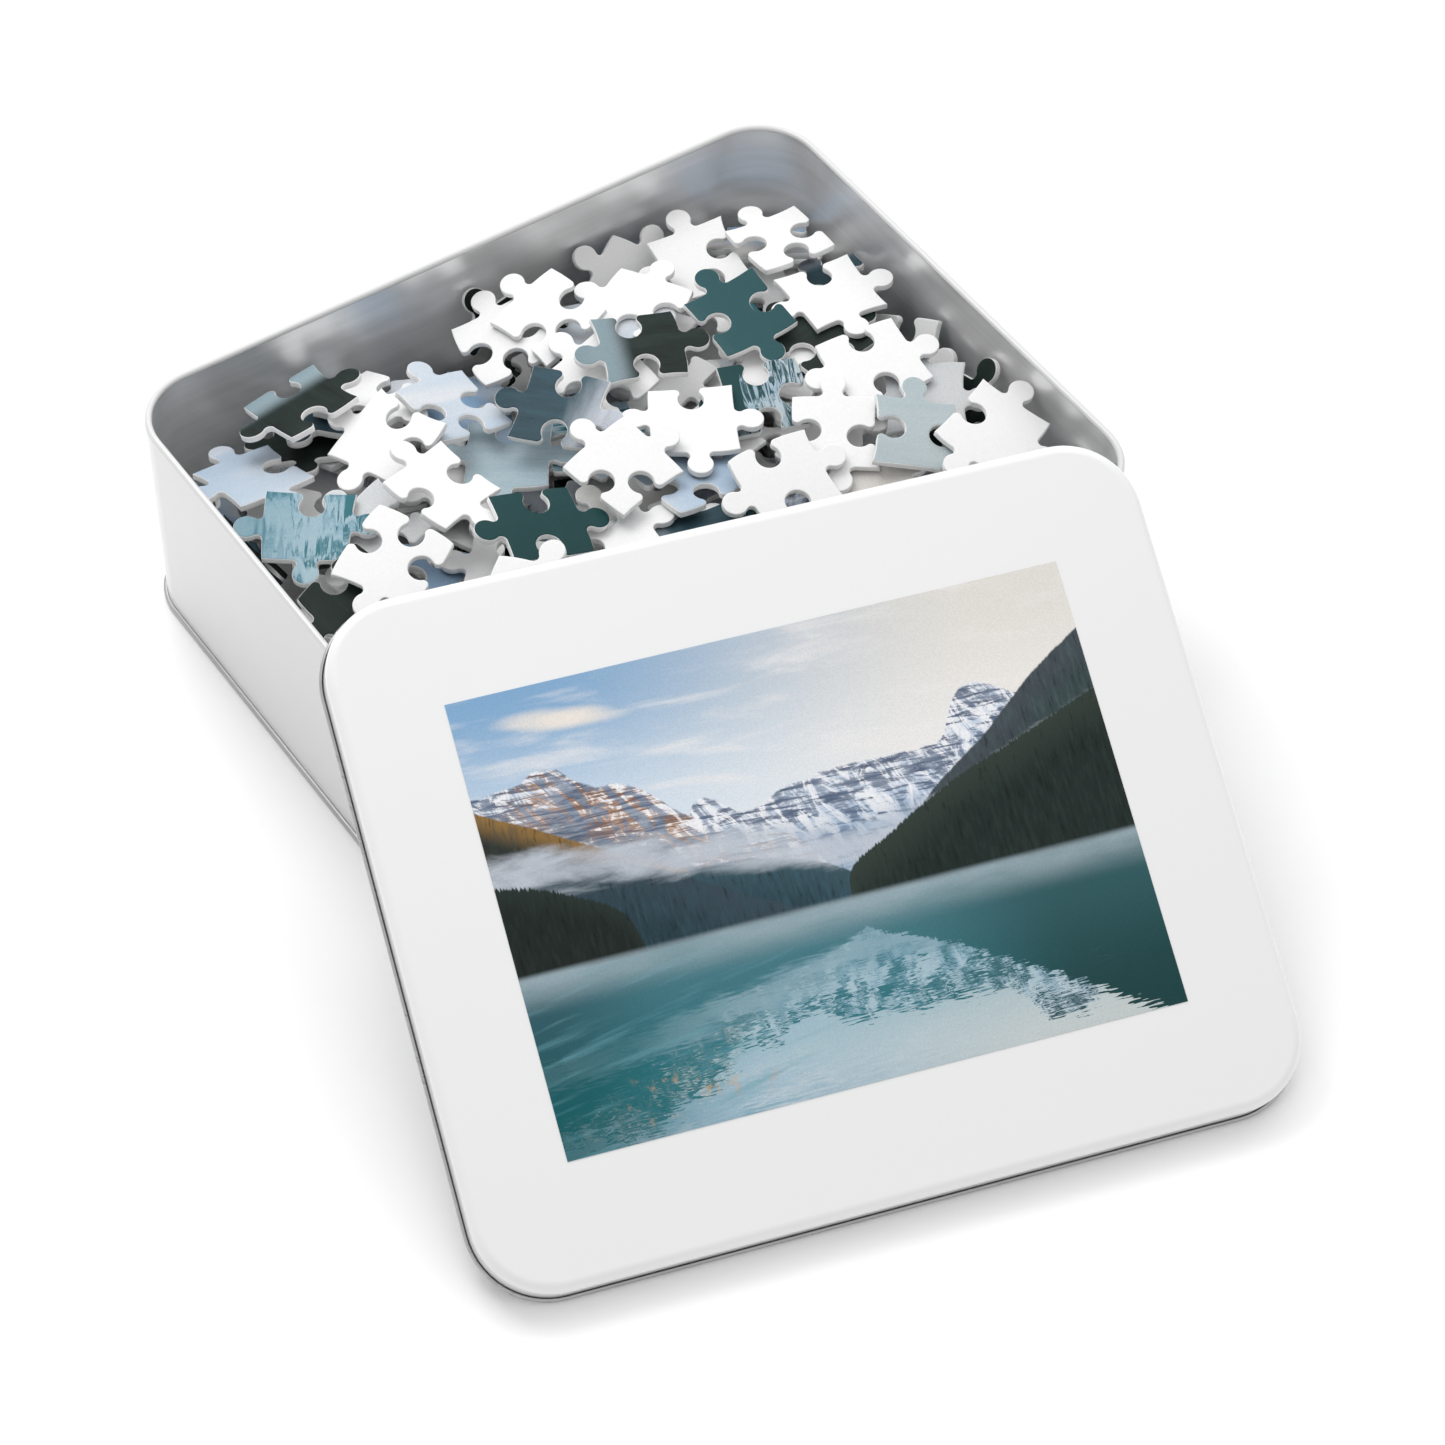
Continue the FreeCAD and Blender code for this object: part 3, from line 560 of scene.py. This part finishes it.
def finish_lid(lacquer, bare, hem, picture):
    """Lacquer on top, bare metal below, a darker hem, and the print's coordinates. The hem's
    darker bare metal is painted shade.
    """
    lid = NODES["lid"]
    back = lid_matrix().inverted()
    turn = back.to_3x3()

    def part(polygon):
        centre = back @ polygon.center
        normal = turn @ polygon.normal
        if centre.z < HEM_HEIGHT - LID_DEPTH:
            return 2
        outward = normal.x * centre.x / LID_HALF_LENGTH + normal.y * centre.y / LID_HALF_WIDTH
        return 1 if normal.z < -0.3 or outward < -0.15 else 0

    dress(lid, [lacquer, bare, hem], part)
    smooth(lid)
    panel = NODES["lid_picture"]
    panel.data.materials.clear()
    panel.data.materials.append(picture)
    layer = panel.data.uv_layers.new(name="picture")
    flat = [back @ vertex.co for vertex in panel.data.vertices]
    width = max(point.x for point in flat) - min(point.x for point in flat)
    height = max(point.y for point in flat) - min(point.y for point in flat)
    for loop in panel.data.loops:
        point = flat[loop.vertex_index]
        across = (point.x / width + 0.5) * PICTURE_ASPECT
        layer.data[loop.index].uv = (across, point.y / height + 0.5)


# ---------------------------------------------------------------------------
# Jigsaw pieces
# ---------------------------------------------------------------------------

# The edge of a piece, from the print to the back: how far in, in mm, and at which share
# of the thickness above the middle
EDGE_FULL = [(0.50, 0.500), (0.27, 0.486), (0.11, 0.450), (0.02, 0.385), (0.0, 0.30),
             (0.03, 0.0), (0.0, -0.36), (0.03, -0.43), (0.12, -0.475), (0.26, -0.498),
             (0.40, -0.500)]
EDGE_PLAIN = [(0.42, 0.500), (0.16, 0.470), (0.0, 0.36), (0.0, -0.40), (0.12, -0.478),
              (0.30, -0.500)]
PRINT_ABOVE = 0.40             # the edge's rounding above this share shows the print
BACK_BELOW = -0.42             # and below this one it shows the back
SHORTEST_STRAIGHT = 15 * MM    # a longer line in an outline is a side of the whole puzzle
PRINT, CUT, BACK = 0, 1, 2     # a piece's materials, in order


def split_islands(mesh):
    """A node's mesh as a bmesh, and the faces of each closed body in it."""
    whole = bmesh.new()
    whole.from_mesh(mesh)
    bmesh.ops.remove_doubles(whole, verts=whole.verts, dist=1e-7)
    whole.verts.ensure_lookup_table()
    unseen = set(whole.verts)
    islands = []
    for start in whole.verts:
        if start not in unseen:
            continue
        unseen.discard(start)
        stack = [start]
        members = []
        while stack:
            vertex = stack.pop()
            members.append(vertex)
            for edge in vertex.link_edges:
                other = edge.other_vert(vertex)
                if other in unseen:
                    unseen.discard(other)
                    stack.append(other)
        faces = {face for vertex in members for face in vertex.link_faces}
        islands.append(faces)
    return whole, islands


def outline_of(faces):
    """The plate's upward normal, its thickness, and its outline at middle height in order."""
    normal = max(faces, key=lambda face: face.calc_area()).normal.copy()
    if normal.z < 0:
        normal.negate()
    heights = [vertex.co.dot(normal) for face in faces for vertex in face.verts]
    low = min(heights)
    high = max(heights)
    following = {}
    for face in faces:
        if face.normal.dot(normal) < 0.9:
            continue
        for loop in face.loops:
            beside = loop.link_loop_radial_next.face
            if beside.normal.dot(normal) < 0.5:
                following[loop.vert] = loop.link_loop_next.vert
    start = next(iter(following))
    ring = [start]
    while following[ring[-1]] is not start:
        ring.append(following[ring[-1]])
    return normal, high - low, [vertex.co - normal * (high - low) / 2 for vertex in ring]


def plate_frame(normal, ring):
    """The plate's middle, axes squared up with its sides, and whether one side is straight."""
    middle = sum(ring, Vector()) / len(ring)
    first = normal.orthogonal().normalized()
    second = normal.cross(first)
    turning = complex(0, 0)
    longest = 0.0
    straight = None
    for here, there in zip(ring, ring[1:] + ring[:1]):
        edge = there - here
        direction = complex(edge.dot(first), edge.dot(second))
        if abs(direction) > 0:
            turning += abs(direction) * (direction / abs(direction)) ** 4
        if edge.length > longest:
            longest = edge.length
            straight = edge.normalized()
    if longest > SHORTEST_STRAIGHT:
        return middle, straight, normal.cross(straight), True
    angle = math.atan2(turning.imag, turning.real) / 4
    across = first * math.cos(angle) + second * math.sin(angle)
    return middle, across, normal.cross(across), False


def inward_directions(points):
    """For each point of an anticlockwise outline, the way in, scaled for a steady inset."""
    found = []
    for index, point in enumerate(points):
        before = (point - points[index - 1]).normalized()
        after = (points[(index + 1) % len(points)] - point).normalized()
        way = Vector((-before.y - after.y, before.x + after.x))
        if way.length < 1e-6:
            way = Vector((-after.y, after.x))
        way.normalize()
        square = max(0.5, way.dot(Vector((-after.y, after.x))))
        found.append(way / square)
    return found


class PieceMesh:
    """Collects rebuilt pieces into one mesh with the print's coordinates."""

    def __init__(self):
        self.vertices = []
        self.faces = []
        self.kinds = []
        self.uvs = []

    def add(self, normal, thickness, ring, cell, face_up, quarter, edge):
        middle, across, up, has_straight = plate_frame(normal, ring)
        if not face_up:
            up = -up
        side = 1 if face_up else -1
        flat = [Vector(((point - middle).dot(across), (point - middle).dot(up))) for point in ring]
        if not face_up:
            flat.reverse()
        inward = inward_directions(flat)
        quarters = 0 if has_straight else quarter
        turn = Matrix.Rotation(math.radians(90 * quarters), 2)
        count = len(flat)
        start = len(self.vertices)
        local = []
        for inset, level in edge:
            for point, way in zip(flat, inward):
                spot = point + way * inset * MM
                height = level * thickness * side
                self.vertices.append(middle + across * spot.x + up * spot.y + normal * height)
                local.append((spot, level))
        row, column = cell

        def uv(index):
            spot, level = local[index]
            turned = turn @ spot
            x = (column + 0.5 + turned.x / COLUMN_PITCH) / CUT_COLUMNS * PICTURE_ASPECT
            y = (row + 0.5 + turned.y / ROW_PITCH) / CUT_ROWS
            return x, y

        rings = len(edge)
        for k in range(rings - 1):
            kind = CUT
            if edge[k + 1][1] > PRINT_ABOVE:
                kind = PRINT
            elif edge[k][1] < BACK_BELOW:
                kind = BACK
            for i in range(count):
                j = (i + 1) % count
                corners = (k * count + i, (k + 1) * count + i, (k + 1) * count + j, k * count + j)
                self.faces.append(tuple(start + c for c in corners))
                self.kinds.append(kind)
                for c in corners:
                    self.uvs.append(uv(c) if kind == PRINT else (local[c][0].x * 50, local[c][1]))
        self.faces.append(tuple(start + i for i in range(count)))
        self.kinds.append(PRINT)
        self.uvs += [uv(i) for i in range(count)]
        last = (rings - 1) * count
        self.faces.append(tuple(start + last + i for i in reversed(range(count))))
        self.kinds.append(BACK)
        self.uvs += [(0.0, 0.0)] * count

    def build(self, name, materials):
        mesh = bpy.data.meshes.new(name)
        mesh.from_pydata([tuple(v) for v in self.vertices], [], self.faces)
        layer = mesh.uv_layers.new(name="picture")
        for loop, uv in zip(layer.data, self.uvs):
            loop.uv = uv
        for material in materials:
            mesh.materials.append(material)
        for polygon, kind in zip(mesh.polygons, self.kinds):
            polygon.material_index = kind
            polygon.use_smooth = len(polygon.vertices) == 4
        thing = bpy.data.objects.new(name, mesh)
        bpy.context.scene.collection.objects.link(thing)
        return thing


def body_of_node(node):
    for body, nodes in RECORD["behaviour"]["bodies"].items():
        if node in nodes:
            return body
    raise KeyError(node)


def finish_pieces(materials):
    """Stand a rebuilt card piece in for each solid of the jigsaw nodes."""
    luck = random.Random(11)
    for node, thing in sorted(NODES.items()):
        if not node.startswith(("piece_", "buried_")):
            continue
        single = node.startswith("piece_")
        whole, islands = split_islands(thing.data)
        collected = PieceMesh()
        for faces in islands:
            if single:
                cell = (int(node[7:9]), int(node[11:13]))
                face_up = SLOT_OF[node] != "card_back"
            else:
                cell = (luck.randrange(CUT_ROWS), luck.randrange(CUT_COLUMNS))
                face_up = luck.random() < 0.5
            normal, thickness, ring = outline_of(faces)
            edge = EDGE_FULL if single else EDGE_PLAIN
            collected.add(normal, thickness, ring, cell, face_up, luck.randrange(4), edge)
        whole.free()
        rebuilt = collected.build(node + "_card", materials)
        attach(rebuilt, body_of_node(node))
        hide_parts(node)


# ---------------------------------------------------------------------------
# Studio: a pale table, soft light from all round and two soft lights above
# ---------------------------------------------------------------------------

CAMERA_LENS = 106.9
CAMERA_PLACE = (-0.3848, -0.6049, 0.7795)
CAMERA_FORWARD = (0.36903, 0.54331, -0.75407)
CAMERA_RIGHT = (0.82928, -0.55883, 0.00320)
TABLE_REACH = 4.0
WORLD_STRENGTH = 0.80


def make_camera():
    data = bpy.data.cameras.new("camera")
    data.lens = CAMERA_LENS
    data.sensor_width = 36.0
    data.clip_end = 20.0
    data.dof.use_dof = False
    camera = bpy.data.objects.new("camera", data)
    forward = Vector(CAMERA_FORWARD).normalized()
    right = Vector(CAMERA_RIGHT).normalized()
    up = right.cross(forward).normalized()
    turn = Matrix((right, up, -forward)).transposed().to_4x4()
    turn.translation = Vector(CAMERA_PLACE)
    camera.matrix_world = turn
    bpy.context.scene.collection.objects.link(camera)
    bpy.context.scene.camera = camera


def make_floor():
    mesh = bpy.data.meshes.new("table")
    corners = [(-1, -1), (1, -1), (1, 1), (-1, 1)]
    corners = [(x * TABLE_REACH, y * TABLE_REACH, 0) for x, y in corners]
    mesh.from_pydata(corners, [], [(0, 1, 2, 3)])
    floor = bpy.data.objects.new("table", mesh)
    bpy.context.scene.collection.objects.link(floor)
    material, shader, surface, place = new_material("table_top")
    tone = shader.noise(place, 3.0, 2.0)
    shader.put(surface.inputs["Base Color"], shader.mix(tone, grey(0.94), grey(0.96)))
    surface.inputs["Roughness"].default_value = 0.9
    surface.inputs["Specular IOR Level"].default_value = 0.1
    mesh.materials.append(material)


def add_area(name, place, target, size, power):
    data = bpy.data.lights.new(name, "AREA")
    data.shape = "RECTANGLE"
    data.size, data.size_y = size
    data.energy = power
    light = bpy.data.objects.new(name, data)
    light.location = place
    aim = Vector(target) - Vector(place)
    light.rotation_euler = aim.to_track_quat("-Z", "Y").to_euler()
    bpy.context.scene.collection.objects.link(light)


def make_light():
    world = bpy.data.worlds.new("studio")
    world.use_nodes = True
    background = world.node_tree.nodes["Background"]
    background.inputs["Color"].default_value = (1.0, 1.0, 1.0, 1.0)
    background.inputs["Strength"].default_value = WORLD_STRENGTH
    bpy.context.scene.world = world
    add_area("key", (0.75, 0.65, 1.6), (0.0, -0.05, 0.0), (2.2, 2.2), 15.5)
    add_area("near_top", (-0.10, 0.26, 0.52), (-0.04, -0.07, 0.05), (0.30, 0.30), 1.25)


def main():
    bpy.context.scene.view_settings.view_transform = "Standard"
    make_camera()
    make_floor()
    make_light()
    landscape = make_landscape(make_scenery())
    # The tin's white lacquer is a darker copy of the lid's (0.60 against 0.78): painted shade on
    # the tin's walls.
    tin_white_painted_shade = white_lacquer("tin_lacquer", 0.60)
    lid_white = white_lacquer("lid_lacquer", 0.78)
    inside = tinplate("tinplate_inside", 0.97, 0.34, 260.0)
    # The seam and the hem are darker copies of the bare tinplate inside (0.42 and 0.46 against
    # 0.97): painted shade at the bottom edges.
    seam = tinplate("tinplate_seam_painted_shade", 0.42, 0.34, 900.0)
    hem = tinplate("tinplate_hem_painted_shade", 0.46, 0.30, 900.0)
    finish_tin(tin_white_painted_shade, inside, seam)
    finish_lid(lid_white, inside, hem, printed("picture_print", landscape, 0.22, 0.0))
    # The pieces' print is darkened by 0.14 more than the lid's: painted shade for pieces lying
    # flat in more light.
    finish_pieces([printed("piece_print", landscape, 0.42, 0.14), card_edge(), card_back()])


main()
